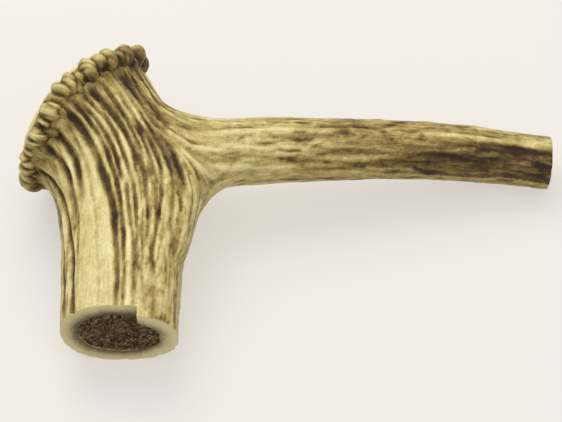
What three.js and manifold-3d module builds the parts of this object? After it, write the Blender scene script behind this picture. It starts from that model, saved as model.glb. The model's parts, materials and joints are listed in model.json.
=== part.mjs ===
// Sawn base of a red deer antler: burr, casting face, main beam and brow tine.
// Millimetres, +Z up. The piece lies on its side on the floor: the beam runs to -Y, the tine to +X.
import * as THREE from 'three';
import { mergeVertices } from 'three/addons/utils/BufferGeometryUtils.js';
import Module from 'manifold-3d';

const wasm = await Module();
wasm.setup();

// Burr (the knobbly ring at the base) and the casting face that it frames.
const BURR_RADIUS = 29.8;           // burr axis to the crest of the ring, between pearls
const BURR_THICKNESS = 8.6;         // ring, along the burr axis
const BURR_DEPTH = 8;               // ring, from its crest inwards
const BURR_TURN = 53.5;             // degrees, burr axis swung from +Y towards -X
const BURR_LIFT = 8.1;              // degrees, burr axis raised from the floor
const BURR_SHIFT = 2.6;             // ring off the beam's centre line, towards the beam's free side
const PEARL_COUNT = 30;
const PEARL_RADIUS = 3.2;
const PEARL_STAND = 0.3;            // pearl centres outside the ring's middle line, as a share of its depth
const PEARL_TALL = 1.25;            // pearl along the burr axis, as a share of its width
const PEARL_SQUAT = 0.95;
const PEARL_WANDER = 0.18;          // pearls off the burr's mid plane, as a share of its thickness
const PEARL_VARIETY = 0.1;          // change in pearl size round the ring
const CASTING_INSET = 6.2;          // crest of the ring to the edge of the casting face
const CASTING_EDGE = 5.2;           // burr mid plane to the edge of the casting face
const CASTING_DOME = 3.8;           // how far the middle of the casting face bulges past its edge

// Main beam, from the burr to its sawn end.
const BEAM_REACH = 89.6;            // burr centre to the sawn end, along -Y
const BEAM_SHIFT = 17.1;            // sawn end to the +X side of the burr centre
const BEAM_WIDTH = 41.4;            // at the sawn end
const BEAM_DEPTH = 37.6;            // at the sawn end
const RING_STAND = 3.05;            // ring proud of the neck at its sides
const RING_RISE = 4.8;              // ring proud of the neck above and below
const NECK_BULGE = 4;               // extra on the side away from the tine
const NECK_LEAD = 28;               // length over which the beam follows the burr axis
const NECK_FADE = 1.8;              // how soon the neck narrows to the beam
const BEAM_LEAD = 0.46;             // share of the reach over which the beam points straight at its end
const BEAM_SQUARENESS = 2.3;        // section's exponent, where 2 is an ellipse
const BEAM_SLOPE = 7.4;             // degrees, fall of the beam and tilt of its sawn face
const STEP_DEPTH = 3.7;             // second saw cut, at the top of the sawn face
const STEP_OFFSET = 7.1;            // second saw cut's side wall, from the middle of the sawn face

// Brow tine, from the beam to its sawn end.
const TINE_REACH = 173.4;           // burr centre to the tine's sawn end, along +X
const TINE_SET = 18.7;              // tine's origin below the burr centre, along -Y
const TINE_SWEEP = 10.9;            // how far the tine swings back towards +Y
const TINE_ROOT_DIAMETER = 25.4;    // just past the flare
const TINE_END_DIAMETER = 19.6;
const TINE_TAPER = 0.75;            // below 1 the tine thins mostly near its root
const TINE_OFFSET = 1.3;            // start of the tine's centre line past the beam's, along +X
const TINE_DROP = 2.2;              // the same start below the burr centre
const TINE_ARCH = 2;                // rise of the centre line over its first third
const TINE_SLOPE = 13.8;            // degrees, fall of the tine at its sawn end
const TINE_TURN = 2;                // degrees, tine turning back towards -Y at its sawn end
const TINE_CUT_TILT = 5;            // degrees, sawn face leaning over
const ROOT_REACH = 57.4;            // burr centre to the tine's own bone, along +X
const CROTCH_REACH = 21;            // flare between tine and beam, along the tine
const CROTCH_RISE = 44;             // the same flare, down the beam
const SHOULDER_REACH = 40;          // flare between tine and burr, along the tine
const SHOULDER_RISE = 34;           // the same flare, towards the burr
const CHEEK_REACH = 26;             // flare of the tine's upper and lower sides
const CHEEK_RISE = 6.5;

// Spongy bone inside.
const BEAM_WALL = 6.2;              // compact bone round the beam's core
const TINE_WALL = 4.6;              // compact bone round the tine's core
const CORE_START = 9;               // burr mid plane to the beam's core
const GAP = 0.3;                    // between neighbouring zones
const SLANT = 3;                    // times the gap is widened where beam and tine flare into the burr at a slant

const neckWidth = 2 * (BURR_RADIUS - RING_STAND);
const neckDepth = 2 * (BURR_RADIUS - RING_RISE);
const castingRadius = BURR_RADIUS - CASTING_INSET;
const up = new THREE.Vector3(0, 0, 1);
const radians = THREE.MathUtils.degToRad;

// Directions and heights that keep the burr, the beam's end and the tine's end on the floor.
const burrAxis = new THREE.Vector3(
  -Math.sin(radians(BURR_TURN)) * Math.cos(radians(BURR_LIFT)),
  Math.cos(radians(BURR_TURN)) * Math.cos(radians(BURR_LIFT)),
  Math.sin(radians(BURR_LIFT))
);
const beamFall = new THREE.Vector3(0, -Math.cos(radians(BEAM_SLOPE)), -Math.sin(radians(BEAM_SLOPE)));
const tineFall = new THREE.Vector3(
  Math.cos(radians(TINE_SLOPE)) * Math.cos(radians(TINE_TURN)),
  -Math.sin(radians(TINE_TURN)),
  -Math.sin(radians(TINE_SLOPE))
).normalize();
const tineCutAxis = new THREE.Vector3(Math.cos(radians(TINE_CUT_TILT)), 0, -Math.sin(radians(TINE_CUT_TILT)));
const pearlReach = PEARL_STAND * BURR_DEPTH + PEARL_RADIUS - BURR_DEPTH / 2;
const burrHeight = (BURR_RADIUS + Math.max(pearlReach, 0)) * Math.cos(radians(BURR_LIFT));
const burrCentre = new THREE.Vector3(0, 0, burrHeight);
const ringCentre = burrCentre.clone().addScaledVector(burrAxis.clone().cross(up).normalize(), -BURR_SHIFT);
const beamEnd = new THREE.Vector3(
  BEAM_SHIFT,
  -BEAM_REACH,
  BEAM_DEPTH / 2 * Math.cos(radians(BEAM_SLOPE))
);
const tineEnd = new THREE.Vector3(
  TINE_REACH,
  TINE_SWEEP - TINE_SET,
  TINE_END_DIAMETER / 2 * Math.cos(radians(TINE_CUT_TILT))
);
const tineStart = new THREE.Vector3(BEAM_SHIFT + TINE_OFFSET, -TINE_SET, burrHeight - TINE_DROP);

const beamCurve = new THREE.CubicBezierCurve3(
  burrCentre,
  burrCentre.clone().addScaledVector(burrAxis, -NECK_LEAD),
  beamEnd.clone().addScaledVector(beamFall, -BEAM_LEAD * BEAM_REACH),
  beamEnd
);
const tineRun = TINE_REACH - tineStart.x;
const tineCurve = new THREE.CubicBezierCurve3(
  tineStart,
  tineStart.clone().add(new THREE.Vector3(tineRun / 3, TINE_SWEEP / 5, TINE_ARCH)),
  tineEnd.clone().addScaledVector(tineFall, -tineRun / 3),
  tineEnd
);

// Half sizes of the outside, to each side of the centre line.
function beamSection(share) {
  const neck = Math.pow(1 - share, NECK_FADE);
  const wide = THREE.MathUtils.lerp(BEAM_WIDTH, neckWidth, neck) / 2;
  const deep = THREE.MathUtils.lerp(BEAM_DEPTH, neckDepth, neck) / 2;
  const power = THREE.MathUtils.lerp(BEAM_SQUARENESS, 2, neck);
  return { right: wide + NECK_BULGE * neck, left: wide, top: deep, bottom: deep, power };
}

function flare(distance, reach, rise) {
  const open = THREE.MathUtils.clamp(1 - distance / reach, 0, 0.97);
  return rise * (1 - Math.sqrt(1 - open * open));
}

function tineSection(share, point) {
  const side = point.x - ROOT_REACH;
  const thin = THREE.MathUtils.clamp(side / (TINE_REACH - ROOT_REACH), 0, 1);
  const round = THREE.MathUtils.lerp(TINE_ROOT_DIAMETER, TINE_END_DIAMETER, Math.pow(thin, TINE_TAPER)) / 2;
  const cheek = flare(side + CHEEK_REACH, CHEEK_REACH, CHEEK_RISE);
  return {
    right: round + flare(side + CROTCH_REACH, CROTCH_REACH, CROTCH_RISE),
    left: round + flare(side + SHOULDER_REACH, SHOULDER_REACH, SHOULDER_RISE),
    top: round + cheek,
    bottom: round + cheek,
    power: 2
  };
}

function inset(section, wall) {
  const { right, left, top, bottom, power } = section;
  return { right: right - wall, left: left - wall, top: top - wall, bottom: bottom - wall, power };
}

// A closed tube along a curve, each quarter of its section a rounded shape of its own.
function loft(curve, sectionAt, around, along, from = 0, overrun = 0, lead = 0) {
  const tube = bare(new THREE.CylinderGeometry(1, 1, 1, around, along));
  const corners = tube.attributes.position;
  const corner = new THREE.Vector3();
  for (let i = 0; i < corners.count; i += 1) {
    corner.fromBufferAttribute(corners, i);
    const share = THREE.MathUtils.lerp(from, 1, corner.y + 0.5);
    const point = curve.getPointAt(share);
    const ahead = curve.getTangentAt(share);
    const right = ahead.clone().cross(up).normalize();
    const top = right.clone().cross(ahead);
    const section = sectionAt(share, point);
    const spread = Math.pow(Math.abs(corner.x), section.power) + Math.pow(Math.abs(corner.z), section.power);
    const swell = spread > 0 ? Math.pow(spread, -1 / section.power) : 1;
    const across = swell * corner.x * (corner.x > 0 ? section.right : section.left);
    const lift = swell * corner.z * (corner.z > 0 ? section.top : section.bottom);
    point.addScaledVector(right, across).addScaledVector(top, lift);
    point.addScaledVector(ahead, overrun * THREE.MathUtils.smoothstep(share, 0.9, 1));
    point.addScaledVector(ahead, share === 0 ? -lead : 0);
    corners.setXYZ(i, point.x, point.y, point.z);
  }
  return solid(tube);
}

// three.js geometry to a manifold solid and back.
function bare(geometry) {
  geometry.deleteAttribute('normal');
  geometry.deleteAttribute('uv');
  return mergeVertices(geometry, 1e-4);
}

function solid(geometry) {
  const closed = bare(geometry);
  return new wasm.Manifold(new wasm.Mesh({
    numProp: 3,
    vertProperties: Float32Array.from(closed.attributes.position.array),
    triVerts: Uint32Array.from(closed.index.array)
  }));
}

function geometryOf(shape) {
  const { vertProperties, triVerts } = shape.getMesh();
  const geometry = new THREE.BufferGeometry();
  geometry.setAttribute('position', new THREE.BufferAttribute(vertProperties, 3));
  geometry.setIndex(new THREE.BufferAttribute(triVerts, 1));
  geometry.computeVertexNormals();
  return geometry;
}

// Everything on the far side of a plane.
function beyond(point, normal) {
  const size = 4 * TINE_REACH;
  const block = new THREE.BoxGeometry(size, size, size);
  block.translate(0, 0, size / 2);
  block.applyQuaternion(new THREE.Quaternion().setFromUnitVectors(up, normal));
  block.translate(point.x, point.y, point.z);
  return solid(block);
}

// Turned shapes are drawn about Y and stood on the burr axis.
function onBurrAxis(geometry) {
  geometry.applyQuaternion(new THREE.Quaternion().setFromUnitVectors(new THREE.Vector3(0, 1, 0), burrAxis));
  geometry.translate(ringCentre.x, ringCentre.y, ringCentre.z);
  return solid(geometry);
}

function burrRing() {
  const outline = [];
  const points = 8;
  for (let i = 0; i <= points; i += 1) {
    const angle = 2 * Math.PI * (i % points) / points;
    const out = BURR_RADIUS - BURR_DEPTH / 2 + BURR_DEPTH / 2 * Math.cos(angle);
    outline.push(new THREE.Vector2(out, BURR_THICKNESS / 2 * Math.sin(angle)));
  }
  return onBurrAxis(new THREE.LatheGeometry(outline, 48));
}

function pearl(index) {
  const angle = 2 * Math.PI * index / PEARL_COUNT;
  const swell = 1 + PEARL_VARIETY * (Math.sin(2.3 * index) + 0.8 * Math.sin(5.1 * index));
  const bead = new THREE.SphereGeometry(PEARL_RADIUS * swell, 7, 5);
  const out = BURR_RADIUS - BURR_DEPTH / 2 + PEARL_STAND * BURR_DEPTH;
  bead.scale(1, PEARL_TALL, PEARL_SQUAT);
  bead.translate(out, PEARL_WANDER * BURR_THICKNESS * Math.sin(3.7 * index), 0);
  bead.rotateY(angle);
  return onBurrAxis(bead);
}

function castingDisc(spare) {
  const outline = [new THREE.Vector2(0, GAP - spare)];
  const steps = 6;
  const edge = castingRadius + spare;
  outline.push(new THREE.Vector2(edge, GAP - spare));
  for (let i = 0; i <= steps; i += 1) {
    const share = i / steps;
    const rise = CASTING_EDGE + spare + CASTING_DOME * Math.sin(share * Math.PI / 2);
    outline.push(new THREE.Vector2(i === steps ? 0 : edge * Math.cos(share * Math.PI / 2), rise));
  }
  return onBurrAxis(new THREE.LatheGeometry(outline, 32));
}

const beamOuter = loft(beamCurve, beamSection, 36, 20);
const beamGrown = loft(beamCurve, (share) => inset(beamSection(share), -SLANT * GAP), 36, 20, 0, 0, GAP);
const tineOuter = loft(tineCurve, tineSection, 28, 26, 0, 3);
const tineGrown = loft(tineCurve, (share, point) => inset(tineSection(share, point), -SLANT * GAP), 28, 26, 0, 3);

const coreFrom = CORE_START / beamCurve.getLength();
const pithFrom = (CORE_START + GAP) / beamCurve.getLength();
const beamCavity = loft(beamCurve, (share) => inset(beamSection(share), BEAM_WALL), 24, 12, coreFrom, 1);
const beamPith = loft(beamCurve, (share) => inset(beamSection(share), BEAM_WALL + GAP), 24, 12, coreFrom, 1)
  .subtract(beyond(beamCurve.getPointAt(pithFrom), beamCurve.getTangentAt(coreFrom).negate()));
const tineRound = (share, point) => {
  const { top } = tineSection(share, point);
  const half = Math.min(top, TINE_ROOT_DIAMETER / 2);
  return { right: half, left: half, top: half, bottom: half, power: 2 };
};
const tineCavity = loft(tineCurve, (share, point) => inset(tineRound(share, point), TINE_WALL), 16, 16, 0, 4);
const tinePith = loft(tineCurve, (share, point) => inset(tineRound(share, point), TINE_WALL + GAP), 16, 16, 0, 4);

// Saw cuts: the beam's main cut, its second cut beside the step, the tine's cut, the burr's mid plane.
const beamCut = beyond(beamEnd, beamFall);
const sawTurn = Math.atan(STEP_DEPTH / BEAM_DEPTH);
const secondAxis = beamFall.clone().applyAxisAngle(new THREE.Vector3(1, 0, 0), -sawTurn);
const beamToe = beamEnd.clone().addScaledVector(
  new THREE.Vector3(1, 0, 0).cross(beamFall),
  BEAM_DEPTH / 2
);
const stepWall = beamEnd.clone().add(new THREE.Vector3(STEP_OFFSET, 0, 0));
const secondCut = beyond(beamToe, secondAxis).intersect(beyond(stepWall, new THREE.Vector3(-1, 0, 0)));
const tineCut = beyond(tineEnd, tineCutAxis);
const burrCut = beyond(burrCentre, burrAxis);
const cuts = beamCut.add(secondCut).add(tineCut).add(burrCut);

// The compact bone is one outside, parted at the tine's root.
const pastRoot = beyond(new THREE.Vector3(ROOT_REACH + GAP / 2, 0, 0), new THREE.Vector3(1, 0, 0));
const beforeRoot = beyond(new THREE.Vector3(ROOT_REACH - GAP / 2, 0, 0), new THREE.Vector3(-1, 0, 0));
const bone = beamOuter.add(tineOuter).subtract(cuts).subtract(beamCavity).subtract(tineCavity);
const beamCortex = bone.intersect(beforeRoot);
const tineCortex = bone.intersect(pastRoot);
const beamCore = beamPith.subtract(cuts);
const tineCore = tinePith.subtract(beamCavity).subtract(cuts);

const pearls = Array.from({ length: PEARL_COUNT }, (unused, index) => pearl(index));
const burr = pearls.reduce((ring, bead) => ring.add(bead), burrRing())
  .subtract(beamGrown)
  .subtract(tineGrown)
  .subtract(castingDisc(GAP));

// Colours of the zones.
const finishes = {
  burr: { color: 0xb3a26c, roughness: 0.6 },
  casting_face: { color: 0xe0d49a, roughness: 0.7 },
  beam_cortex: { color: 0xb9a565, roughness: 0.5 },
  beam_core: { color: 0x4a3620, roughness: 0.95 },
  tine_cortex: { color: 0x9c8a52, roughness: 0.5 },
  tine_core: { color: 0x5a4428, roughness: 0.95 }
};

const zones = {
  burr,
  casting_face: castingDisc(0),
  beam_cortex: beamCortex,
  beam_core: beamCore,
  tine_cortex: tineCortex,
  tine_core: tineCore
};

const antler = new THREE.Group();
for (const [name, shape] of Object.entries(zones)) {
  const { color, roughness } = finishes[name];
  const material = new THREE.MeshStandardMaterial({ color, roughness, metalness: 0 });
  const mesh = new THREE.Mesh(geometryOf(shape), material);
  mesh.name = name;
  antler.add(mesh);
}

// The origin is under the middle of the piece, on the floor.
const box = new THREE.Box3().setFromObject(antler);
const middle = box.getCenter(new THREE.Vector3());
antler.position.set(-middle.x, -middle.y, -box.min.z);

export default antler;
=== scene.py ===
import json
import math

import bmesh
import bpy
import numpy as np
from mathutils import Matrix, Vector
from mathutils.bvhtree import BVHTree

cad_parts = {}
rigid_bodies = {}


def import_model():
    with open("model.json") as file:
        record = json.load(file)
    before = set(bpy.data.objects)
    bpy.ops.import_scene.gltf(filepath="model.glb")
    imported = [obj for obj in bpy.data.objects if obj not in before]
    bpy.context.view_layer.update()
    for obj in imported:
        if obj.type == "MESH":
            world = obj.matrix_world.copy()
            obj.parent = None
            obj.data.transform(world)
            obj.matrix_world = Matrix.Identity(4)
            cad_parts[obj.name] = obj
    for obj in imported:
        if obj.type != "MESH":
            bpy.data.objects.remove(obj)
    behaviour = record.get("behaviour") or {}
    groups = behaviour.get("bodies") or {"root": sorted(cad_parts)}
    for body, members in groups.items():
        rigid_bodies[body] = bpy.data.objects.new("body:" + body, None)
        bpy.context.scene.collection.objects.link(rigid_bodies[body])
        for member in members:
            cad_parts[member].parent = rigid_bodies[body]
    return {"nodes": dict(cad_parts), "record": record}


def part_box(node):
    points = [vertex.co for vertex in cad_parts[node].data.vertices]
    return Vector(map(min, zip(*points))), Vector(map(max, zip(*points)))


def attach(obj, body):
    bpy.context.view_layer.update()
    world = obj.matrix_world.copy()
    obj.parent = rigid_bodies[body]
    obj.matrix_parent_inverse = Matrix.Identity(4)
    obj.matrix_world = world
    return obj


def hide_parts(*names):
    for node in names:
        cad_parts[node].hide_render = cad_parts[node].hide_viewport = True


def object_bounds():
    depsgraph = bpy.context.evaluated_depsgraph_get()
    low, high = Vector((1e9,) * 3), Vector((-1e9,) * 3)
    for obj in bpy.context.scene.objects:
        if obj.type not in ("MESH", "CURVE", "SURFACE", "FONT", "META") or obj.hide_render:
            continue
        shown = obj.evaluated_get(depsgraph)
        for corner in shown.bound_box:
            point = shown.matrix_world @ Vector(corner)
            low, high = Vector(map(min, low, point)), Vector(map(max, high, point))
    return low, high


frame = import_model()
cadLow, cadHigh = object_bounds()   # the CAD box
mm = 0.001


# Small tools for meshes, all in metres.

def readPoints(mesh):
    flat = np.empty(len(mesh.vertices) * 3)
    mesh.vertices.foreach_get("co", flat)
    return flat.reshape(-1, 3)


def writePoints(mesh, points):
    mesh.vertices.foreach_set("co", np.ascontiguousarray(points, dtype=np.float32).ravel())
    mesh.update()


def readNormals(mesh):
    flat = np.empty(len(mesh.vertices) * 3)
    mesh.vertex_normals.foreach_get("vector", flat)
    return flat.reshape(-1, 3)


def readEdges(mesh):
    flat = np.empty(len(mesh.edges) * 2, dtype=np.int32)
    mesh.edges.foreach_get("vertices", flat)
    return flat.reshape(-1, 2)


def keepNumbers(mesh, name, values):
    layer = mesh.attributes.new(name, "FLOAT", "POINT")
    layer.data.foreach_set("value", np.ascontiguousarray(values, dtype=np.float32))


def keepVectors(mesh, name, values):
    layer = mesh.attributes.new(name, "FLOAT_VECTOR", "POINT")
    layer.data.foreach_set("vector", np.ascontiguousarray(values, dtype=np.float32).ravel())


def newPiece(name, mesh):
    piece = bpy.data.objects.new(name, mesh)
    bpy.context.scene.collection.objects.link(piece)
    return piece


def copyOfNodes(name, nodeNames):   # merged copy of one or more CAD nodes, in one mesh
    shape = bmesh.new()
    for nodeName in nodeNames:
        shape.from_mesh(frame["nodes"][nodeName].data)
    bmesh.ops.remove_doubles(shape, verts=shape.verts, dist=0.002 * mm)
    mesh = bpy.data.meshes.new(name)
    shape.to_mesh(mesh)
    shape.free()
    return newPiece(name, mesh)


def baked(piece):   # turns a piece's live modifiers into its mesh
    bpy.context.view_layer.update()
    graph = bpy.context.evaluated_depsgraph_get()
    mesh = bpy.data.meshes.new_from_object(piece.evaluated_get(graph), depsgraph=graph)
    piece.modifiers.clear()
    piece.data = mesh
    return piece


def revoxelled(piece, size):
    remesh = piece.modifiers.new("voxels", "REMESH")
    remesh.mode = "VOXEL"
    remesh.voxel_size = size
    remesh.adaptivity = 0.0
    return baked(piece)


def relaxed(points, edges, passes, share=0.5, mask=None):   # plain averaging with the neighbours
    first, second = edges[:, 0], edges[:, 1]
    count = np.bincount(edges.ravel(), minlength=len(points)).clip(1)[:, None]
    pull = share if mask is None else share * mask[:, None]
    points = points.copy()
    for step in range(passes):
        mean = np.empty_like(points)
        for axis in range(points.shape[1]):
            mean[:, axis] = np.bincount(first, points[second, axis], len(points))
            mean[:, axis] += np.bincount(second, points[first, axis], len(points))
        points += pull * (mean / count - points)
    return points


def evened(points, edges, passes):   # smooths without shrinking
    for step in range(passes):
        points = relaxed(points, edges, 1, 0.5)
        points = relaxed(points, edges, 1, -0.52)
    return points


def smoothStep(low, high, value):
    share = np.clip((value - low) / (high - low), 0, 1)
    return share * share * (3 - 2 * share)


def grain(points, seed):   # value noise from 0 to 1, one cell per unit
    cell = np.floor(points).astype(np.int64)
    part = points - cell
    part = part * part * part * (part * (part * 6 - 15) + 10)
    total = np.zeros(len(points))
    for corner in range(8):
        step = np.array([corner & 1, corner >> 1 & 1, corner >> 2 & 1])
        at = cell + step
        mixed = at[:, 0] * 374761393 + at[:, 1] * 668265263 + at[:, 2] * 1274126177
        mixed = (mixed + seed * 974634777) & 0xffffffff
        mixed = (mixed ^ (mixed >> 15)) * 2246822519 & 0xffffffff
        mixed = (mixed ^ (mixed >> 13)) * 3266489917 & 0xffffffff
        mixed ^= mixed >> 16
        weight = np.where(step, part, 1 - part).prod(axis=1)
        total += weight * (mixed / 0xffffffff)
    return total


def layeredGrain(points, seed, layers=3):
    total, size = 0.0, 1.0
    for layer in range(layers):
        total = total + grain(points / size, seed + layer) * size
        size *= 0.5
    return total / (2 - 2 * size)


def column(*parts):
    return np.stack(np.broadcast_arrays(*parts), axis=1)


# Where things are, read from the frame.

def meshOf(nodeName):
    return readPoints(frame["nodes"][nodeName].data)


def unit(vector):
    vector = np.asarray(vector, float)
    return vector / np.linalg.norm(vector)


mounts = {mount["name"]: mount for mount in frame["record"]["mounts"]}
seatShape = frame["nodes"]["casting_face"].data
seatFace = max(seatShape.polygons, key=lambda face: face.area)
burrAxis = -unit(seatFace.normal)                       # out through the casting face
seatFlat = [face for face in seatShape.polygons if face.normal.dot(seatFace.normal) > 0.9999]
seatArea = sum(face.area for face in seatFlat)
burrCentre = sum((np.array(face.center) * face.area for face in seatFlat), np.zeros(3)) / seatArea
burrAside = -unit(np.cross(burrAxis, (0, 0, 1)))         # towards the beam's free side
burrUp = unit(np.array((0, 0, 1)) - burrAxis[2] * burrAxis)
burrReach = np.linalg.norm(np.cross(meshOf("burr") - burrCentre, burrAxis), axis=1).max()

saw = {
    "slope": 7.4,             # degrees, lean of the beam's main cut
    "stepOffset": 7.1 * mm,   # step between the beam's two cuts, from the middle of its face
    "spare": 10 * mm,         # length added to both ends before they are sawn off
}
slope = math.radians(saw["slope"])
beamFall = np.array((0, -math.cos(slope), -math.sin(slope)))
corePoints = meshOf("beam_core")
beamCut = (corePoints @ beamFall).max()                   # the main cut's distance along beamFall
coreRim = corePoints[corePoints @ beamFall > beamCut - 5 * mm]
rimMiddle = (coreRim.min(axis=0) + coreRim.max(axis=0)) / 2
beamEnd = rimMiddle + beamFall * (beamCut - rimMiddle @ beamFall)
secondAxis = unit(mounts["beam_sawn_face"]["axis"])
secondPoint = np.array(mounts["beam_sawn_face"]["pos_m"])
tineAxis = unit(mounts["tine_sawn_face"]["axis"])
tinePoint = np.array(mounts["tine_sawn_face"]["pos_m"])
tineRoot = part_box("tine_cortex")[0][0] - 0.15 * mm        # plane where beam and tine meet


def bezier(corners, count):
    share = np.linspace(0, 1, count)[:, None]
    a, b, c, d = (np.array(corner) for corner in corners)
    back = 1 - share
    return back ** 3 * a + 3 * back ** 2 * share * b + 3 * back * share ** 2 * c + share ** 3 * d


neckLead = 28 * mm     # the beam follows the burr's axis for this far
beamReach = burrCentre[1] - beamEnd[1]
neckStart = burrCentre - 2.6 * mm * burrAside
neckOut = neckStart - neckLead * burrAxis
beamIn = beamEnd - 0.46 * beamReach * beamFall
beamLine = bezier((neckStart, neckOut, beamIn, beamEnd), 33)
tineShape = meshOf("tine_core")
tineLine = []
for place in np.linspace(tineShape[:, 0].min() + 4 * mm, tineShape[:, 0].max() - 2 * mm, 17):
    near = tineShape[np.abs(tineShape[:, 0] - place) < 9 * mm]
    tineLine.append((near.min(axis=0) + near.max(axis=0)) / 2 * (0, 1, 1) + (place, 0, 0))
tineLine = np.array(tineLine)
print("frame read: burr reaches", round(burrReach / mm, 1), "mm, beam", round(beamReach / mm, 1), "mm")


# Camera, light and floor.

look = {
    "elevation": 55,          # degrees above the floor
    "lens": 150,              # mm
    "distance": 0.843,
    "aside": -1.3 * mm,       # where the camera looks, from the middle of the piece
    "above": -8.0 * mm,
}
middle = (cadLow + cadHigh) / 2
lift = math.radians(look["elevation"])
towardsEye = Vector((0, -math.cos(lift), math.sin(lift)))
eyeUp = Vector((0, math.sin(lift), math.cos(lift)))
camera = bpy.data.objects.new("camera", bpy.data.cameras.new("camera"))
camera.data.lens = look["lens"]
camera.data.sensor_width = 36
camera.data.clip_start = 0.05
aim = middle + Vector((look["aside"], 0, 0)) + eyeUp * look["above"]
camera.location = aim + towardsEye * look["distance"]
camera.rotation_euler = (math.radians(90 - look["elevation"]), 0, 0)
bpy.context.scene.collection.objects.link(camera)
bpy.context.scene.camera = camera


def softLight(name, place, size, power, tint=(1, 1, 1)):
    lamp = bpy.data.objects.new(name, bpy.data.lights.new(name, "AREA"))
    lamp.data.shape = "DISK"
    lamp.data.size = size
    lamp.data.energy = power
    lamp.data.color = tint
    lamp.location = place
    aim = Vector(middle) - Vector(place)
    lamp.rotation_euler = aim.to_track_quat("-Z", "Y").to_euler()
    bpy.context.scene.collection.objects.link(lamp)
    return lamp


softLight("windowLight", (-0.25, 0.50, 0.85), 0.8, 5.0, (1.0, 0.985, 0.95))
softLight("fillLight", (0.50, -0.70, 0.75), 1.2, 2.4, (0.97, 0.98, 1.0))
softLight("topLight", (-0.1, 0.0, 1.1), 1.4, 5.5)

world = bpy.data.worlds.new("paleRoom")
bpy.context.scene.world = world
world.use_nodes = True
world.node_tree.nodes["Background"].inputs["Color"].default_value = (0.95, 0.93, 0.90, 1)
world.node_tree.nodes["Background"].inputs["Strength"].default_value = 0.5
bpy.context.scene.view_settings.view_transform = "Standard"

floorMesh = bpy.data.meshes.new("floor")
floorMesh.from_pydata([(-3, -3, 0), (3, -3, 0), (3, 3, 0), (-3, 3, 0)], [], [(0, 1, 2, 3)])
floor = newPiece("floor", floorMesh)
floorPaint = bpy.data.materials.new("palePaper")
floorPaint.use_nodes = True
floorShader = floorPaint.node_tree.nodes["Principled BSDF"]
floorShader.inputs["Base Color"].default_value = (0.30, 0.285, 0.27, 1)
floorShader.inputs["Roughness"].default_value = 0.9
# The floor glows a little, like a lit sheet, so that its shadows stay faint.
floorShader.inputs["Emission Color"].default_value = (1.0, 0.955, 0.90, 1)
floorShader.inputs["Emission Strength"].default_value = 0.52
floorMesh.materials.append(floorPaint)
print("camera, lights and floor ready")


# The flow of the growth lines: out from the burr, along the beam and off into the tine.

def nearestOn(points, line):   # nearest place on a centre line and how far off it is
    best = np.full(len(points), 1e9)
    ahead = np.zeros((len(points), 3))
    for start, end in zip(line[:-1], line[1:]):
        run = end - start
        share = np.clip((points - start) @ run / (run @ run), 0, 1)
        off = np.linalg.norm(points - start - share[:, None] * run, axis=1)
        nearer = off < best
        best[nearer] = off[nearer]
        ahead[nearer] = run / np.linalg.norm(run)
    return best, ahead


flow = {
    "beamGirth": 22 * mm,    # rough radius of the beam and of the tine, to weigh one against the other
    "tineGirth": 13 * mm,
    "turn": 4.0,             # how sharply the lines leave the beam for the tine
    "cell": 2.0 * mm,
    "step": 1.5 * mm,
    "mostSteps": 190,        # enough to come home from the far end of the tine
    "hairStep": 0.9 * mm,    # shorter steps, for drawing fine lines
    "collar": 2.0 * mm,      # tracing stops this far below the burr's middle
}


def tineShare(points):
    beamOff, beamAhead = nearestOn(points, beamLine)
    tineOff, tineAhead = nearestOn(points, tineLine)
    beamPull = (tineOff / flow["tineGirth"]) ** flow["turn"]
    tinePull = (beamOff / flow["beamGirth"]) ** flow["turn"]
    share = tinePull / (tinePull + beamPull + 1e-9)
    return share, beamAhead, tineAhead


def flowGrid(core):   # direction of growth, surface normal and distance on a loose lattice round the skin
    tree = BVHTree.FromObject(core, bpy.context.evaluated_depsgraph_get())
    points = readPoints(core.data)
    low = points.min(axis=0) - 4 * flow["cell"]
    size = np.ceil((points.max(axis=0) + 4 * flow["cell"] - low) / flow["cell"]).astype(int) + 1
    table = np.zeros((*size, 7))
    cells = np.unique(np.floor((points - low) / flow["cell"]).astype(int), axis=0)
    reach = np.array([(a, b, c) for a in range(-2, 4) for b in range(-2, 4) for c in range(-2, 4)])
    cells = np.unique((cells[:, None, :] + reach).reshape(-1, 3), axis=0)
    cells = cells[((cells >= 0) & (cells < size)).all(axis=1)]
    places = low + cells * flow["cell"]
    normals = np.empty((len(places), 3))
    gaps = np.empty(len(places))
    for index, place in enumerate(places):
        found, normal, face, gap = tree.find_nearest(Vector(place))
        away = Vector(place) - found
        side = 1.0 if away.dot(normal) >= 0 else -1.0
        normals[index] = normal if gap < 0.3 * mm else away.normalized() * side
        gaps[index] = side * gap
    share, beamAhead, tineAhead = tineShare(places)
    heading = beamAhead * (1 - share[:, None]) + tineAhead * share[:, None]
    heading -= normals * (heading * normals).sum(axis=1)[:, None]
    table[cells[:, 0], cells[:, 1], cells[:, 2]] = np.hstack((heading, normals, gaps[:, None]))
    return table, low


def sampled(grid, points):
    table, low = grid
    spot = (points - low) / flow["cell"]
    cell = np.clip(np.floor(spot).astype(int), 0, np.array(table.shape[:3]) - 2)
    part = spot - cell
    total = np.zeros((len(points), table.shape[3]))
    for corner in range(8):
        step = np.array([corner & 1, corner >> 1 & 1, corner >> 2 & 1])
        weight = np.where(step, part, 1 - part).prod(axis=1)
        at = cell + step
        total += weight[:, None] * table[at[:, 0], at[:, 1], at[:, 2]]
    return total


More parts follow.
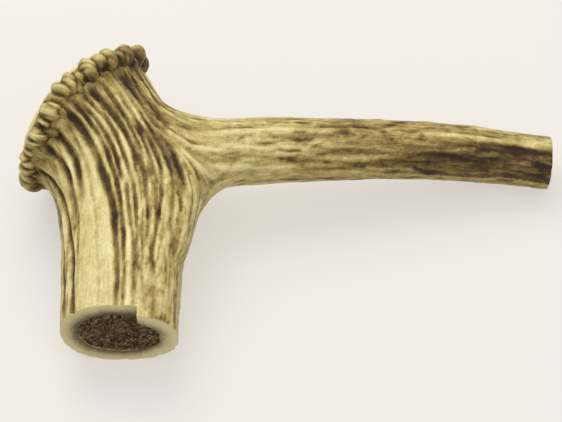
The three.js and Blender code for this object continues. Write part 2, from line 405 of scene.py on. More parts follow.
def tracedHome(grid, points):   # follows each point back to the burr: the angle it grew from and how far
    here = points.copy()
    length = np.zeros(len(points))
    going = np.arange(len(points))
    for step in range(flow["mostSteps"]):
        field = sampled(grid, here[going])
        heading, normal, gap = field[:, :3], field[:, 3:6], field[:, 6:]
        heading = heading / (np.linalg.norm(heading, axis=1)[:, None] + 1e-6)
        normal = normal / (np.linalg.norm(normal, axis=1)[:, None] + 1e-6)
        here[going] -= heading * flow["step"] + normal * gap
        length[going] += flow["step"]
        depth = (here[going] - burrCentre) @ -burrAxis
        going = going[depth > flow["collar"]]
        if not len(going):
            break
    out = here - burrCentre
    length -= flow["collar"] - np.clip(out @ -burrAxis, -flow["step"], flow["collar"])
    angle = np.degrees(np.arctan2(out @ burrUp, out @ burrAside)) % 360
    return angle, length


# The smooth body that the skin is drawn on.

def stretched(points):   # lengthens both sawn ends, so that the cuts run through full bone
    points = points.copy()
    for fall, cut in ((beamFall, beamCut), (tineAxis, tineAxis @ tinePoint)):
        past = points @ fall - cut + saw["spare"]
        run = np.where(past > 0, past, 0)
        points += run[:, None] * fall
    return points


body = {
    "coarse": 1.2 * mm,      # voxels while the fork is being smoothed
    "fine": 0.59 * mm,       # voxels of the finished skin
    "forkPasses": 90,
    "tracePasses": 8,        # evens out the traced angles
}
smoothBody = copyOfNodes("smoothBody", ("beam_cortex", "tine_cortex", "beam_core", "tine_core"))
writePoints(smoothBody.data, stretched(readPoints(smoothBody.data)))
revoxelled(smoothBody, body["coarse"])
bodyPoints = readPoints(smoothBody.data)
bodyEdges = readEdges(smoothBody.data)
fork = smoothStep(0.03, 0.3, tineShare(bodyPoints)[0])
fork *= 1 - smoothStep(tineRoot - 6 * mm, tineRoot + 12 * mm, bodyPoints[:, 0])
fork = relaxed(fork[:, None], bodyEdges, 6)[:, 0]
bodyPoints = evened(bodyPoints, bodyEdges, 8)
bodyPoints = relaxed(bodyPoints, bodyEdges, body["forkPasses"], 0.6, fork)
bodyPoints = evened(bodyPoints, bodyEdges, 4)
writePoints(smoothBody.data, bodyPoints)
grid = flowGrid(smoothBody)
print("smooth body:", len(bodyPoints), "points")

skin = newPiece("skin", smoothBody.data.copy())
revoxelled(skin, body["fine"])
skinEdges = readEdges(skin.data)
skinPoints = evened(readPoints(skin.data), skinEdges, 3)
writePoints(skin.data, skinPoints)
skinNormals = readNormals(skin.data)
grewFrom, grownLength = tracedHome(grid, skinPoints)
traced = column(np.cos(np.radians(grewFrom)), np.sin(np.radians(grewFrom)), grownLength)
traced = relaxed(traced, skinEdges, body["tracePasses"], 0.6)
grewFrom = np.degrees(np.arctan2(traced[:, 1], traced[:, 0])) % 360
grownLength = traced[:, 2]
print("fine skin:", len(skinPoints), "points, traced to the burr")


def streaked(grid, points, scales):   # noise averaged along the growth lines, by grain size, reach and seed
    totals = [grain(points / size, seed) for size, reach, seed in scales]
    for way in (1, -1):
        here = points.copy()
        for step in range(int(max(reach for size, reach, seed in scales) / flow["hairStep"])):
            field = sampled(grid, here)
            heading, normal = field[:, :3], field[:, 3:6]
            heading = heading / (np.linalg.norm(heading, axis=1)[:, None] + 1e-6)
            normal = normal / (np.linalg.norm(normal, axis=1)[:, None] + 1e-6)
            here += way * heading * flow["hairStep"] - normal * field[:, 6:]
            for index, (size, reach, seed) in enumerate(scales):
                if (step + 1) * flow["hairStep"] <= reach:
                    totals[index] += grain(here / size, seed)
    return [(total - total.mean()) / total.std() for total in totals]


# Grooves of the beam: the angle each has grown from at four distances from the burr (5, 22, 45 and 75 mm),
# its width and depth, and where it starts and ends (degrees and mm).
grooves = [
    (-20, 2, 16.5, 22, 2.0, 0.9, 10, 84),
    (5, 21, 33, 40, 1.5, 1.4, 3, 88),
    (31, 37, 44, 47, 1.6, 1.4, 2, 38),
    (45, 49, 54, 56, 1.5, 1.2, 2, 32),
    (54, 58, 65, 69, 0.8, 0.3, 10, 85),
    (63, 69.5, 80, 87, 1.6, 1.7, 2, 92),
    (73, 78, 86, 92, 1.2, 1.3, 3, 98),
    (77, 84, 91, 96, 1.0, 1.0, 6, 44),
    (84, 91, 97, 102, 1.1, 0.9, 4, 90),
    (82, 88, 92, 99.5, 1.3, 1.1, 42, 104),
    (90, 98.5, 106, 108, 1.5, 1.3, 4, 68),
    (97, 101.5, 102, 105, 0.9, 0.6, 8, 95),
    (102, 104.5, 108, 110, 1.2, 1.0, 6, 40),
    (100, 102, 104, 109, 1.1, 0.8, 50, 80),
    (108, 110, 110.5, 113, 1.0, 0.6, 12, 56),
    (112, 115, 113.5, 110, 1.2, 0.9, 30, 82),
    (118, 119, 117, 116, 1.1, 0.7, 8, 72),
    (126, 123, 120, 119, 1.1, 0.7, 8, 56),
]
marks = (5, 22, 45, 75)
relief = {
    "wiggle": 0.7,           # mm, sideways
    "trumpet": 1.9,          # mm, flare under the burr
    "ridges": 0.15,          # mm, broad, middling and fine growth lines
    "lines": 0.09,
    "hairs": 0.035,
    "lumps": 0.4,
    "beads": 0.16,
    "flecks": 0.12,          # short ones, on the side by the tine
    "tineRidge": 0.5,
}
loop = np.random.default_rng(11)
for start in np.arange(124, 318, 9.0):   # the side that lies away
    swing = 30 * smoothStep(200, 320, start)
    start += loop.uniform(-2, 2)
    grooves.append((start, start + 0.5 * swing, start + swing, start + swing, loop.uniform(1, 1.9),
                    loop.uniform(0.6, 1.3), 8, loop.uniform(45, 100)))

first, second = skinEdges[:, 0], skinEdges[:, 1]
turnStep = (grewFrom[first] - grewFrom[second] + 180) % 360 - 180
edgeLength = np.linalg.norm(skinPoints[first] - skinPoints[second], axis=1) / mm
steep = np.clip(turnStep / edgeLength, -12, 12) ** 2
count = np.bincount(skinEdges.ravel(), minlength=len(skinPoints)).clip(1)
steep = (np.bincount(first, steep, len(skinPoints)) + np.bincount(second, steep, len(skinPoints))) / count
arc = 1 / np.sqrt(2 * relaxed(steep[:, None], skinEdges, 12)[:, 0] + 1e-6)   # mm of surface for each degree
seam = 1 - smoothStep(0.1, 0.26, arc)          # where lines from both sides of the burr meet
arc = np.clip(arc, 0.2, 1.6)

lengthMm = grownLength / mm
groove = np.zeros(len(skinPoints))
stained = np.zeros(len(skinPoints))
for index, (*angles, width, depth, begins, ends) in enumerate(grooves):
    waver = grain(column(lengthMm / 18, index * 7.3, 0.5), 5)
    waver += 0.3 * grain(column(lengthMm / 6, index * 3.1, 0.5), 6)
    off = ((grewFrom - np.interp(lengthMm, marks, angles) + 180) % 360 - 180) * arc
    off += relief["wiggle"] * (waver - 0.65) * 2
    swell = 0.8 + 0.4 * grain(column(lengthMm / 9, index * 5.7, 2.5), 7)
    spread = width * (0.95 - 0.25 * smoothStep(15, 60, lengthMm)) * swell
    shape = np.exp(-np.abs(off / spread) ** 2.4)
    hold = smoothStep(begins - 3, begins + 4, lengthMm) * (1 - smoothStep(ends - 14, ends + 8, lengthMm))
    fade = 1 - 0.45 * smoothStep(20, 90, lengthMm)
    groove = np.maximum(groove, depth * shape * hold * fade * swell)
    darkness = np.clip(depth, 0, 1.3) * shape * hold * swell
    stained = np.maximum(stained, darkness * (1 - 0.35 * smoothStep(30, 100, lengthMm)))

share = tineShare(skinPoints)[0]
onBeam = 1 - smoothStep(0.25, 0.7, share)
tineMiddle = column(*[np.interp(skinPoints[:, 0], tineLine[:, 0], tineLine[:, axis]) for axis in range(3)])
tineOut = skinPoints - tineMiddle
tineAngle = np.degrees(np.arctan2(tineOut[:, 2], tineOut[:, 1]))   # 0 at the back, 90 on top, 180 in front
onTine = smoothStep(0.5, 0.95, share)

strokes = (                  # grain size, reach and seed
    (2.6 * mm, 12 * mm, 21),     # ridges
    (1.6 * mm, 8 * mm, 22),      # lines
    (1.15 * mm, 5 * mm, 23),     # hairs
    (1.3 * mm, 2.7 * mm, 24),    # flecks
)
ridges, lines, hairs, flecks = streaked(grid, skinPoints, strokes)
lumps = layeredGrain(skinPoints / (7 * mm), 31) - 0.5
beads = layeredGrain(skinPoints / (2.2 * mm), 35, 2) - 0.5

smoothRidge = {              # the broad ridge down the beam: its sides at the same four marks
    "from": (48, 48, 44, 44),
    "to": (60, 66, 76, 83),
    "calm": 0.75,            # how much of the roughness it loses
}
calmFrom = np.interp(lengthMm, marks, smoothRidge["from"])
calmTo = np.interp(lengthMm, marks, smoothRidge["to"])
calm = smoothStep(calmFrom - 2, calmFrom + 4, grewFrom) * (1 - smoothStep(calmTo - 4, calmTo + 2, grewFrom))
calm *= smoothStep(14, 28, lengthMm) * onBeam
rough = (1 - smoothRidge["calm"] * calm) * smoothStep(2, 9, lengthMm) * (1 - 0.7 * seam)
backRidge = np.exp(-((tineAngle - 95) / 11) ** 2) * onTine
collar = np.exp(-np.clip(lengthMm - 3, 0, None) / 5)

seen = 1 - smoothStep(230, 250, grewFrom)      # the half of the beam that faces up
nearRight = smoothStep(95, 106, grewFrom) * seen * onBeam * (1 - seam)
height = -groove * onBeam * (1 - seam)
height += relief["flecks"] * nearRight * np.clip(flecks, -1.5, 1.5)
height += rough * (relief["ridges"] * ridges + relief["lines"] * lines + relief["hairs"] * hairs)
height += relief["lumps"] * lumps + relief["beads"] * beads * rough
height += relief["tineRidge"] * backRidge + relief["trumpet"] * collar
print("relief:", round(height.min(), 2), "to", round(height.max(), 2), "mm")
skinPoints = skinPoints + skinNormals * (height * mm)[:, None]
skinPoints = relaxed(skinPoints, skinEdges, 1, 0.25)
writePoints(skin.data, skinPoints)

stainAndShadeWeights = {                   # how much each adds to the darkness, where 0 is straw and 1 is near black: real stains, and painted shade in the hollows, under the burr and partly on the tine's front
    "grooves": 0.28,
    "hollowShade": 0.42,
    "ridges": 0.045,
    "lines": 0.05,
    "hairs": 0.045,
    "flecks": 0.13,
    "shadeUnderBurr": 0.22,
    "tineFrontStainAndShade": 0.32,
    "tineOuter": 0.14,
    "fork": 0.12,
    "smoothRidge": -0.08,
}
# How far each point sinks below the smoothed relief, for the painted shade in the hollows.
flat = relaxed(height[:, None], skinEdges, 14, 0.7)[:, 0]
hollow = flat - height
zoneX = skinPoints[:, 0] / mm
# The front of the tine's far end, the side turned from the light, is darker: partly its own brown staining,
# partly painted shade.
frontDark = smoothStep(25, 60, zoneX) * smoothStep(92, 112, tineAngle) * onTine
mottle = 0.45 + 0.6 * layeredGrain(skinPoints / (3.2 * mm), 43)
mottle += 0.5 * layeredGrain(skinPoints / (0.9 * mm), 44)
byTheTine = smoothStep(104, 116, grewFrom) * (1 - smoothStep(36, 62, lengthMm)) * smoothStep(14, 30, lengthMm)
fleckiness = stainAndShadeWeights["flecks"] + 0.05 * nearRight + 0.05 * onTine
stainAndShade = stainAndShadeWeights["grooves"] * stained * onBeam * mottle * (1 - seam)
# Painted shade: darker wherever the relief sinks below its smoothed level.
stainAndShade += stainAndShadeWeights["hollowShade"] * np.clip(hollow, -0.4, 0.8)
stainAndShade -= rough * (stainAndShadeWeights["ridges"] * ridges + stainAndShadeWeights["lines"] * lines + stainAndShadeWeights["hairs"] * hairs)
stainAndShade += fleckiness * np.clip(-flecks - 0.6, 0, 2) * (1 - calm)
# Painted shade: darker close under the burr, where the ring overhangs the beam.
stainAndShade += stainAndShadeWeights["shadeUnderBurr"] * np.exp(-np.clip(lengthMm - 5, 0, None) / 8)
# Partly brown staining, partly painted shade on the side turned from the light.
stainAndShade += stainAndShadeWeights["tineFrontStainAndShade"] * frontDark * (0.6 + 0.8 * layeredGrain(skinPoints / (9 * mm), 41))
stainAndShade += stainAndShadeWeights["tineOuter"] * onTine * smoothStep(-10, 20, zoneX)
stainAndShade += 0.02 * smoothStep(98, 106, grewFrom) * seen + 0.04 * smoothStep(100, 114, grewFrom) * onBeam * seen
stainAndShade += stainAndShadeWeights["fork"] * byTheTine * onBeam
stainAndShade += stainAndShadeWeights["smoothRidge"] * calm
turn = np.radians(grewFrom)
tineTurn = np.radians(tineAngle)
# The darkness, real stains and painted shade together, is kept for the skin's paint.
keepNumbers(skin.data, "stainAndShade", stainAndShade)
keepNumbers(skin.data, "onTine", onTine)
keepVectors(skin.data, "beamGrain", column(26 * np.cos(turn), 26 * np.sin(turn), 0.13 * lengthMm))
keepVectors(skin.data, "tineGrain", column(11 * np.cos(tineTurn), 11 * np.sin(tineTurn), 0.13 * zoneX))


def sawBlock(name, point, away, edge=None):   # all that lies past a plane, or only what is short of an edge
    ahead = unit(away)
    side = np.array((1.0, 0, 0)) if abs(ahead[0]) < 0.7 else np.array((0, 1.0, 0))
    side = unit(side - ahead * (side @ ahead))
    across = np.cross(ahead, side)
    reach = 150 * mm
    right = reach if edge is None else edge - point[0]
    corners = [point + side * a + across * b + ahead * c
               for c in (0, reach) for b in (-reach, reach) for a in (-reach, right)]
    mesh = bpy.data.meshes.new(name)
    faces = [(0, 2, 3, 1), (4, 5, 7, 6), (0, 1, 5, 4), (2, 6, 7, 3), (0, 4, 6, 2), (1, 3, 7, 5)]
    mesh.from_pydata([tuple(corner) for corner in corners], [], faces)
    return newPiece(name, mesh)


stepEdge = beamEnd[0] + saw["stepOffset"]
blocks = [
    sawBlock("beamSaw", beamEnd, beamFall),
    sawBlock("stepSaw", secondPoint, secondAxis, stepEdge),
    sawBlock("tineSaw", tinePoint, tineAxis),
]


def carved(piece, tools):
    for tool in tools:
        cut = piece.modifiers.new("cut", "BOOLEAN")
        cut.operation = "DIFFERENCE"
        cut.solver = "MANIFOLD"
        cut.object = tool
    return baked(piece)


pith = {
    "voxel": 0.8 * mm,
    "waver": 0.7 * mm,       # how ragged the outline of the spongy bone is
    "clear": 0.05 * mm,      # between the spongy bone and its pocket
}


def spongyShape(name, nodeName, grown, seed):
    piece = copyOfNodes(name, (nodeName,))
    writePoints(piece.data, stretched(readPoints(piece.data)))
    revoxelled(piece, pith["voxel"])
    points = evened(readPoints(piece.data), readEdges(piece.data), 4)
    writePoints(piece.data, points)
    waver = (layeredGrain(points / (2.6 * mm), seed) - 0.5) * 2 * pith["waver"]
    writePoints(piece.data, points + readNormals(piece.data) * (waver + grown)[:, None])
    return piece


beamPocket = spongyShape("beamPocket", "beam_core", pith["clear"], 51)
tinePocket = spongyShape("tinePocket", "tine_core", pith["clear"], 52)


def half(source, name, keepLow):   # one side of the seam between beam and tine
    shape = bmesh.new()
    shape.from_mesh(source.data)
    plane = (tineRoot, 0, 0)
    cutEdges = bmesh.ops.bisect_plane(
        shape, geom=shape.verts[:] + shape.edges[:] + shape.faces[:], plane_co=plane, plane_no=(1, 0, 0),
        clear_outer=keepLow, clear_inner=not keepLow)["geom_cut"]
    rim = [part for part in cutEdges if isinstance(part, bmesh.types.BMEdge)]
    bmesh.ops.contextual_create(shape, geom=rim)
    mesh = bpy.data.meshes.new(name)
    bmesh.ops.recalc_face_normals(shape, faces=shape.faces)
    shape.to_mesh(mesh)
    shape.free()
    return newPiece(name, mesh)


def onCut(points, cuts, spare=0.06 * mm):   # which points lie on one of the saw cuts
    found = np.zeros(len(points), bool)
    for point, away in cuts:
        found |= np.abs((points - point) @ unit(away)) < spare
    return found


beamCuts = ((beamEnd, beamFall), (secondPoint, secondAxis), (np.array((stepEdge, 0, 0)), (1, 0, 0)))
tineCuts = ((tinePoint, tineAxis),)


def finishSkin(piece, cuts, plainSlot, sawnSlot):   # sawn faces get their own material and crisp rims
    mesh = piece.data
    points = readPoints(mesh)
    normals = np.empty(len(mesh.polygons) * 3)
    mesh.polygons.foreach_get("normal", normals)
    normals = normals.reshape(-1, 3)
    centres = np.empty(len(mesh.polygons) * 3)
    mesh.polygons.foreach_get("center", centres)
    centres = centres.reshape(-1, 3)
    sawn = np.zeros(len(mesh.polygons), np.int32)
    for point, away in cuts:
        away = unit(away)
        flatOn = (np.abs((centres - point) @ away) < 0.03 * mm) & (np.abs(normals @ away) > 0.999)
        if abs(away[0]) == 1:
            flatOn &= centres @ beamFall > beamCut - 8 * mm
        sawn[flatOn] = 1
    mesh.materials.clear()
    mesh.materials.append(plainSlot)
    mesh.materials.append(sawnSlot)
    mesh.polygons.foreach_set("material_index", sawn)
    mesh.polygons.foreach_set("use_smooth", np.ones(len(mesh.polygons), bool))
    shape = bmesh.new()
    shape.from_mesh(mesh)
    for edge in shape.edges:
        if len(edge.link_faces) == 2:
            first, second = edge.link_faces
            gentle = first.normal.dot(second.normal) > 0.5
            edge.smooth = gentle and first.material_index == second.material_index
    shape.to_mesh(mesh)
    shape.free()
    return piece


def meshedCuts(piece, cuts, longest=1.2 * mm):   # small triangles on the sawn faces, to carry their tones
    shape = bmesh.new()
    shape.from_mesh(piece.data)
    for step in range(5):
        flat = []
        for face in shape.faces:
            centre, normal = np.array(face.calc_center_median()), np.array(face.normal)
            for point, away in cuts[:2]:
                if abs((centre - point) @ unit(away)) < 0.03 * mm and abs(normal @ unit(away)) > 0.999:
                    flat.append(face)
                    break
        flat = set(bmesh.ops.triangulate(shape, faces=flat)["faces"])
        inner = [edge for edge in shape.edges if edge.calc_length() > longest and set(edge.link_faces) <= flat]
        if not inner:
            break
        bmesh.ops.subdivide_edges(shape, edges=inner, cuts=1)
    shape.to_mesh(piece.data)
    shape.free()


def gapTo(piece, points):   # distance of each point from a piece's surface
    tree = BVHTree.FromObject(piece, bpy.context.evaluated_depsgraph_get())
    return np.array([tree.find_nearest(Vector(point))[3] for point in points])


beamSkin = half(skin, "beamSkin", True)
tineSkin = half(skin, "tineSkin", False)
carved(beamSkin, (tinePocket, beamPocket, blocks[0], blocks[1]))
carved(tineSkin, (tinePocket, blocks[2]))
print("sawn: beam", len(beamSkin.data.polygons), "faces, tine", len(tineSkin.data.polygons), "faces")


def spongyPiece(name, pocket, voxel, tools, cuts, seed):
    piece = newPiece(name, pocket.data.copy())
    points = readPoints(piece.data)
    writePoints(piece.data, points - readNormals(piece.data) * pith["clear"])
    carved(piece, tools)
    revoxelled(piece, voxel)
    mesh = piece.data
    points = readPoints(mesh)
    face = onCut(points, cuts, 0.35 * mm).astype(float)
    pores = 0.7 * grain(points / (0.6 * mm), seed) + 0.3 * grain(points / (1.3 * mm), seed + 1)
    depth = np.clip((pores - 0.42) * 5, 0, 1)
    away = unit(cuts[0][1])
    points = points - face[:, None] * (depth * mm)[:, None] * away
    writePoints(mesh, points)
    keepNumbers(mesh, "pore", depth * face)
    mesh.polygons.foreach_set("use_smooth", np.ones(len(mesh.polygons), bool))
    print(name + ":", len(mesh.polygons), "faces")
    return piece


beamPith = spongyPiece("beamPith", beamPocket, 0.40 * mm, blocks[:2], beamCuts[:2], 61)
tinePith = spongyPiece("tinePith", tinePocket, 0.4 * mm, blocks[2:], tineCuts, 62)
for piece, pocket, cuts in ((beamSkin, beamPocket, beamCuts), (tineSkin, tinePocket, tineCuts)):
    meshedCuts(piece, cuts)
    points = readPoints(piece.data)
    near = onCut(points, cuts)
    rim = np.ones(len(points)) * 9
    rim[near] = gapTo(pocket, points[near]) / mm
    rim[points[:, 0] > stepEdge + 0.1 * mm] += 1.2   # the second cut is paler
    keepNumbers(piece.data, "rim", rim)


def node(tree, kind, **settings):
    made = tree.nodes.new(kind)
    for key, value in settings.items():
        setattr(made, key, value)
    return made


def ramp(tree, source, stops):
    made = tree.nodes.new("ShaderNodeValToRGB")
    while len(made.color_ramp.elements) < len(stops):
        made.color_ramp.elements.new(0.5)
    for element, (place, colour) in zip(made.color_ramp.elements, stops):
        element.position = place
        element.color = (*colour, 1)
    tree.links.new(source, made.inputs["Fac"])
    return made.outputs["Color"]


def tone(*screen):   # red, green and blue of 255 to the linear colour that shaders use
    parts = [part / 255 for part in screen]
    return tuple(part / 12.92 if part < 0.04 else ((part + 0.055) / 1.055) ** 2.4 for part in parts)


def combined(tree, operation, first, second):
    made = node(tree, "ShaderNodeMath", operation=operation)
    for index, value in enumerate((first, second)):
        if isinstance(value, (int, float)):
            made.inputs[index].default_value = value
        else:
            tree.links.new(value, made.inputs[index])
    return made.outputs[0]


def noiseAt(tree, coordinates, scale, detail=3, roughness=0.6):
    made = tree.nodes.new("ShaderNodeTexNoise")
    made.inputs["Scale"].default_value = scale
    made.inputs["Detail"].default_value = detail
    made.inputs["Roughness"].default_value = roughness
    tree.links.new(coordinates, made.inputs["Vector"])
    return made.outputs["Fac"]


def attributeOf(tree, name, output="Fac"):
    return node(tree, "ShaderNodeAttribute", attribute_name=name).outputs[output]


def swayed(tree, value, wide):   # a 0 to 1 value as a change of plus or minus wide / 2
    return combined(tree, "MULTIPLY", combined(tree, "SUBTRACT", value, 0.5), wide)


def summed(tree, *values):
    total = values[0]
    for value in values[1:]:
        total = combined(tree, "ADD", total, value)
    return total


def finish(tree, colour, height, roughness, strength, distance):
    shader = tree.nodes["Principled BSDF"]
    tree.links.new(colour, shader.inputs["Base Color"])
    tree.links.new(roughness, shader.inputs["Roughness"])
    shader.inputs["Specular IOR Level"].default_value = 0.32
    bump = tree.nodes.new("ShaderNodeBump")
    bump.inputs["Strength"].default_value = strength
    bump.inputs["Distance"].default_value = distance
    tree.links.new(height, bump.inputs["Height"])
    tree.links.new(bump.outputs["Normal"], shader.inputs["Normal"])


def newPaint(name):
    paint = bpy.data.materials.new(name)
    paint.use_nodes = True
    return paint, paint.node_tree, paint.node_tree.nodes.new("ShaderNodeTexCoord").outputs["Object"]


skinTones = (
    (0.0, tone(226, 215, 160)), (0.22, tone(203, 189, 129)), (0.42, tone(166, 148, 86)),
    (0.62, tone(122, 101, 50)), (0.82, tone(78, 57, 22)), (1.0, tone(46, 31, 11)),
)


def antlerPaint(name, grained, base):   # grained: whether the piece carries the growth-line coordinates
    paint, tree, spot = newPaint(name)
    fine = noiseAt(tree, spot, 1100, 4, 0.7)
    blot = noiseAt(tree, spot, 230, 4, 0.65)
    level = summed(tree, attributeOf(tree, "stainAndShade"), swayed(tree, fine, 0.42), swayed(tree, blot, 0.34), base)
    height = fine
    if grained:
        tineSide = attributeOf(tree, "onTine")
        hair = []
        for coordinates in ("beamGrain", "tineGrain"):
            hair.append(noiseAt(tree, attributeOf(tree, coordinates, "Vector"), 1.9, 3, 0.65))
        mixed = node(tree, "ShaderNodeMix", data_type="FLOAT")
        tree.links.new(tineSide, mixed.inputs["Factor"])
        tree.links.new(hair[0], mixed.inputs[2])
        tree.links.new(hair[1], mixed.inputs[3])
        level = summed(tree, level, swayed(tree, mixed.outputs[0], 0.5))
        height = summed(tree, combined(tree, "MULTIPLY", fine, 0.5), mixed.outputs[0])
    colour = ramp(tree, level, skinTones)
    shine = summed(tree, 0.42, combined(tree, "MULTIPLY", level, 0.25))
    finish(tree, colour, height, shine, 0.45, 0.3 * mm)
    return paint


sawnTones = (   # from the spongy core out
    (0.0, tone(60, 46, 22)), (0.22, tone(100, 84, 50)), (0.42, tone(148, 132, 90)),
    (0.66, tone(184, 171, 124)), (1.0, tone(202, 190, 142)),
)


def sawnPaint():
    paint, tree, spot = newPaint("sawnBone")
    fine = noiseAt(tree, spot, 1500, 3, 0.7)
    cloud = noiseAt(tree, spot, 260, 3, 0.6)
    level = summed(tree, attributeOf(tree, "rim"), swayed(tree, fine, 3.6), swayed(tree, cloud, 2.2))
    colour = ramp(tree, combined(tree, "DIVIDE", level, 6), sawnTones)
    finish(tree, colour, fine, summed(tree, 0.38, combined(tree, "MULTIPLY", fine, 0.2)), 0.2, 0.15 * mm)
    return paint


spongyTones = (   # from the walls of the pores to their depths
    (0.0, tone(158, 140, 98)), (0.2, tone(112, 94, 58)), (0.5, tone(66, 49, 24)), (1.0, tone(26, 16, 7)),
)


def spongyPaint():
    paint, tree, spot = newPaint("spongyBone")
    fine = noiseAt(tree, spot, 1900, 4, 0.8)
    pores = combined(tree, "MULTIPLY", attributeOf(tree, "pore"), 0.4)
    colour = ramp(tree, summed(tree, pores, swayed(tree, fine, 2.4), 0.3), spongyTones)
    finish(tree, colour, fine, summed(tree, 0.75, combined(tree, "MULTIPLY", fine, 0.2)), 0.5, 0.3 * mm)
    return paint


antlerSkin = antlerPaint("antlerSkin", True, 0.30)
burrBone = antlerPaint("burrBone", False, 0.37)
castingBone = antlerPaint("castingBone", False, 0.16)
sawnBone = sawnPaint()
spongyBone = spongyPaint()
finishSkin(beamSkin, beamCuts, antlerSkin, sawnBone)
finishSkin(tineSkin, tineCuts, antlerSkin, sawnBone)
bonePieces = (
    (beamSkin, "beam_cortex", "antler_skin"),
    (tineSkin, "tine_cortex", "antler_skin"),
    (beamPith, "beam_core", "spongy_bone"),
    (tinePith, "tine_core", "spongy_bone"),
)
for piece, nodeName, slotName in bonePieces:
    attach(piece, "root")
    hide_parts(nodeName)
for piece in (beamPith, tinePith):
    piece.data.materials.clear()
    piece.data.materials.append(spongyBone)
for piece in (smoothBody, skin, beamPocket, tinePocket, *blocks):
    bpy.data.objects.remove(piece)


def burrSpot(angle, out, along):   # a place on the ring: degrees round it, from its axis, along its axis
    turning = np.radians(angle)
    ray = np.multiply.outer(np.cos(turning), burrAside) + np.multiply.outer(np.sin(turning), burrUp)
    return burrCentre + ray * np.asarray(out)[..., None] + burrAxis * np.asarray(along)[..., None], ray


pearls = {
    "rim": 40,               # big pearls round the ring, and small ones inside and below them
    "inner": 34,
    "under": 18,
    "rimOut": 26.9 * mm,
    "innerOut": 23.2 * mm,
    "underOut": 25.9 * mm,
    "wave": 0.9 * mm,        # the row of pearls wanders along the burr's axis
    "ringHalf": 3.9 * mm,
    "voxel": 0.4 * mm,
    "folds": 0.55,           # mm, creases drawn across the pearls
    "detail": 3,
    "seed": 17,
}


# Swells of the ring: where (degrees), how wide, how far out and how far along the burr's axis (mm).
swells = (
    (128, 26, 1.8, -3.0),
    (172, 30, 3.2, -5.2),
    (352, 24, 0.9, -1.2),
    (62, 14, 0.0, 1.0),
    (33, 9, 0.8, -0.6),
    (240, 40, 0.3, 1.0),
)


def swollen(angle):   # how far the ring swells out and along at an angle
    off = [np.exp(-((((angle - at) + 180) % 360 - 180) / wide) ** 2) for at, wide, out, along in swells]
    outward = sum(part * swell[2] for part, swell in zip(off, swells)) * mm
    onward = sum(part * swell[3] for part, swell in zip(off, swells)) * mm
    return outward, onward


def pearlSeats():   # one point for each pearl, with its turn and its half sizes
    dice = np.random.default_rng(pearls["seed"])
    places, turns, sizes = [], [], []
    rows = (
        (pearls["rim"], pearls["rimOut"], -0.2, (3.9, 2.4, 3.8), 30),
        (pearls["inner"], pearls["innerOut"], 2.6, (2.0, 1.7, 1.7), 60),
        (pearls["under"], pearls["underOut"], -3.4, (2.3, 1.7, 2.6), 40),
    )
    for row, (count, out, along, halfSize, lean) in enumerate(rows):
        for index in range(count):
            angle = 360 * (index + dice.uniform(-0.28, 0.28)) / count
            swing = math.sin(math.radians(angle * 5 + 40)) + 0.6 * math.sin(math.radians(angle * 11))
            height = along * mm + pearls["wave"] * (swing * 0.6 + dice.uniform(-0.7, 0.7))
            size = np.array(halfSize) * mm * dice.uniform(0.72, 1.28) * dice.uniform(0.85, 1.15, 3)
            outward, onward = swollen(angle)
            place, ray = burrSpot(angle, out + outward + dice.uniform(-0.7, 0.7) * mm, height + onward)
            tilt = math.radians(dice.uniform(-lean, lean))
            sideways = np.cross(burrAxis, ray)
            side = sideways * math.cos(tilt) + burrAxis * math.sin(tilt)
            top = np.cross(ray, side)
            turns.append(Matrix((ray, side, top)).transposed().to_euler())
            places.append(place)
            sizes.append(size * (1 if row == 0 or dice.uniform() < 0.8 else 0.3))
    mesh = bpy.data.meshes.new("pearlSeats")
    mesh.from_pydata([tuple(place) for place in places], [], [])
    keepVectors(mesh, "turn", [tuple(turning) for turning in turns])
    keepVectors(mesh, "halves", sizes)
    return newPiece("pearlBurr", mesh)


def pearlTree():   # seats in, a rounded bead set on every seat out
    tree = bpy.data.node_groups.new("pearlsOnSeats", "GeometryNodeTree")
    face = tree.interface
    face.new_socket("Seats", in_out="INPUT", socket_type="NodeSocketGeometry")
    face.new_socket("Bead detail", in_out="INPUT", socket_type="NodeSocketInt")
    face.new_socket("Bead size", in_out="INPUT", socket_type="NodeSocketFloat")
    face.new_socket("Bead material", in_out="INPUT", socket_type="NodeSocketMaterial")
    face.new_socket("Pearls", in_out="OUTPUT", socket_type="NodeSocketGeometry")
    given = tree.nodes.new("NodeGroupInput")
    out = tree.nodes.new("NodeGroupOutput")
    bead = tree.nodes.new("GeometryNodeMeshIcoSphere")
    bead.inputs["Radius"].default_value = 1.0
    turning = node(tree, "GeometryNodeInputNamedAttribute", data_type="FLOAT_VECTOR")
    turning.inputs["Name"].default_value = "turn"
    halves = node(tree, "GeometryNodeInputNamedAttribute", data_type="FLOAT_VECTOR")
    halves.inputs["Name"].default_value = "halves"
    size = node(tree, "ShaderNodeVectorMath", operation="SCALE")
    upright = tree.nodes.new("FunctionNodeEulerToRotation")
    place = tree.nodes.new("GeometryNodeInstanceOnPoints")
    real = tree.nodes.new("GeometryNodeRealizeInstances")
    coat = tree.nodes.new("GeometryNodeSetMaterial")
    link = tree.links.new
    link(given.outputs["Bead detail"], bead.inputs["Subdivisions"])
    link(halves.outputs["Attribute"], size.inputs[0])
    link(given.outputs["Bead size"], size.inputs["Scale"])
    link(turning.outputs["Attribute"], upright.inputs["Euler"])
    link(given.outputs["Seats"], place.inputs["Points"])
    link(bead.outputs["Mesh"], place.inputs["Instance"])
    link(upright.outputs["Rotation"], place.inputs["Rotation"])
    link(size.outputs["Vector"], place.inputs["Scale"])
    link(place.outputs["Instances"], real.inputs["Geometry"])
    link(real.outputs["Geometry"], coat.inputs["Geometry"])
    link(given.outputs["Bead material"], coat.inputs["Material"])
    link(coat.outputs["Geometry"], out.inputs["Pearls"])
    return tree


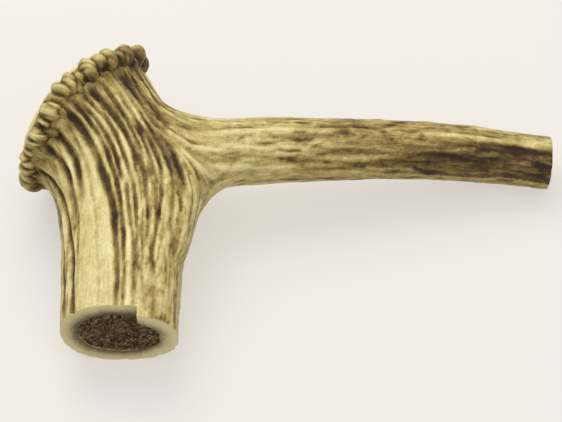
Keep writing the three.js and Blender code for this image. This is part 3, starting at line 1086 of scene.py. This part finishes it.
def setInput(modifier, name, value):
    for item in modifier.node_group.interface.items_tree:
        if item.name == name and item.in_out == "INPUT":
            modifier[item.identifier] = value


def collarMesh():   # the plain roll that the pearls stand on
    around, across = 144, 14
    angles = np.arange(around) * 360 / around
    points = []
    for step in range(across):
        turning = 2 * math.pi * step / across
        outward, onward = swollen(angles)
        out = 24.6 * mm + outward + pearls["ringHalf"] * math.cos(turning)
        place, ray = burrSpot(angles, out, onward + pearls["ringHalf"] * math.sin(turning))
        points.append(place)
    points = np.concatenate(points)
    faces = []
    for step in range(across):
        for index in range(around):
            a = step * around + index
            b = step * around + (index + 1) % around
            c = (step + 1) % across * around + (index + 1) % around
            d = (step + 1) % across * around + index
            faces.append((a, d, c, b))
    mesh = bpy.data.meshes.new("collar")
    mesh.from_pydata([tuple(point) for point in points], [], faces)
    return mesh


def makeBurr(paint):
    burr = pearlSeats()
    nodes = burr.modifiers.new("pearls", "NODES")
    nodes.node_group = pearlTree()
    setInput(nodes, "Bead detail", pearls["detail"])
    setInput(nodes, "Bead size", 1.0)
    setInput(nodes, "Bead material", paint)
    baked(burr)
    shape = bmesh.new()
    shape.from_mesh(burr.data)
    shape.from_mesh(collarMesh())
    bmesh.ops.recalc_face_normals(shape, faces=shape.faces)
    shape.to_mesh(burr.data)
    shape.free()
    revoxelled(burr, pearls["voxel"])
    mesh = burr.data
    edges = readEdges(mesh)
    points = evened(readPoints(mesh), edges, 4)
    writePoints(mesh, points)
    out = points - burrCentre
    angle = np.degrees(np.arctan2(out @ burrUp, out @ burrAside)) % 360
    along = out @ burrAxis / mm
    wide = np.linalg.norm(out - np.outer(out @ burrAxis, burrAxis), axis=1) / mm
    folds = grain(column(angle * 0.47 / 0.9 + 0.35 * along, along / 6, wide / 5), 71) - 0.5
    bumps = layeredGrain(points / (1.9 * mm), 72) - 0.5
    rise = pearls["folds"] * folds + 0.5 * bumps
    points = points + readNormals(mesh) * (rise * mm)[:, None]
    points = relaxed(points, edges, 1, 0.3)
    writePoints(mesh, points)
    smooth = relaxed(points, edges, 26, 0.7)
    normals = readNormals(mesh)
    cavity = ((smooth - points) * normals).sum(axis=1) / mm
    # Painted shade and light on the relief: darker in the creases and sunken folds, paler on the raised folds;
    # painted shade on the ring's side towards the beam; darker also towards the ring's inside.
    tint = 0.22 + 0.85 * np.clip(cavity, -0.3, 0.9) - 0.25 * folds
    tint += 0.30 * smoothStep(-1.5, -5.5, along) + 0.12 * smoothStep(25, 21, wide)
    keepNumbers(mesh, "stainAndShade", tint)
    mesh.polygons.foreach_set("use_smooth", np.ones(len(mesh.polygons), bool))
    mesh.materials.clear()
    mesh.materials.append(paint)
    print("burr:", len(mesh.polygons), "faces")
    return burr


shedFace = {
    "voxel": 0.5 * mm,
    "grit": 0.3,             # mm
    "dome": 1.2,
    "pits": 0.3,
    "pitTint": 0.2,
    "paleness": 0.16,
}


def makeCasting(paint):
    casting = copyOfNodes("castingFace", ("casting_face",))
    revoxelled(casting, shedFace["voxel"])
    mesh = casting.data
    edges = readEdges(mesh)
    points = evened(readPoints(mesh), edges, 3)
    writePoints(mesh, points)
    normals = readNormals(mesh)
    face = smoothStep(0.1, 0.5, normals @ burrAxis)
    grit = layeredGrain(points / (1.3 * mm), 81) - 0.5
    swell = layeredGrain(points / (9 * mm), 83) - 0.5
    pits = smoothStep(0.66, 0.84, grain(points / (1.7 * mm), 84))
    rise = face * (shedFace["grit"] * grit + shedFace["dome"] * swell - shedFace["pits"] * pits)
    writePoints(mesh, points + normals * (rise * mm)[:, None])
    keepNumbers(mesh, "stainAndShade", shedFace["pitTint"] * (pits * face - grit) - shedFace["paleness"])
    mesh.polygons.foreach_set("use_smooth", np.ones(len(mesh.polygons), bool))
    mesh.materials.clear()
    mesh.materials.append(paint)
    return casting


burr = makeBurr(burrBone)
casting = makeCasting(castingBone)
for piece, nodeName, slotName in ((burr, "burr", "burr_bone"), (casting, "casting_face", "casting_bone")):
    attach(piece, "root")
    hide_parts(nodeName)

print("burr and casting face made")
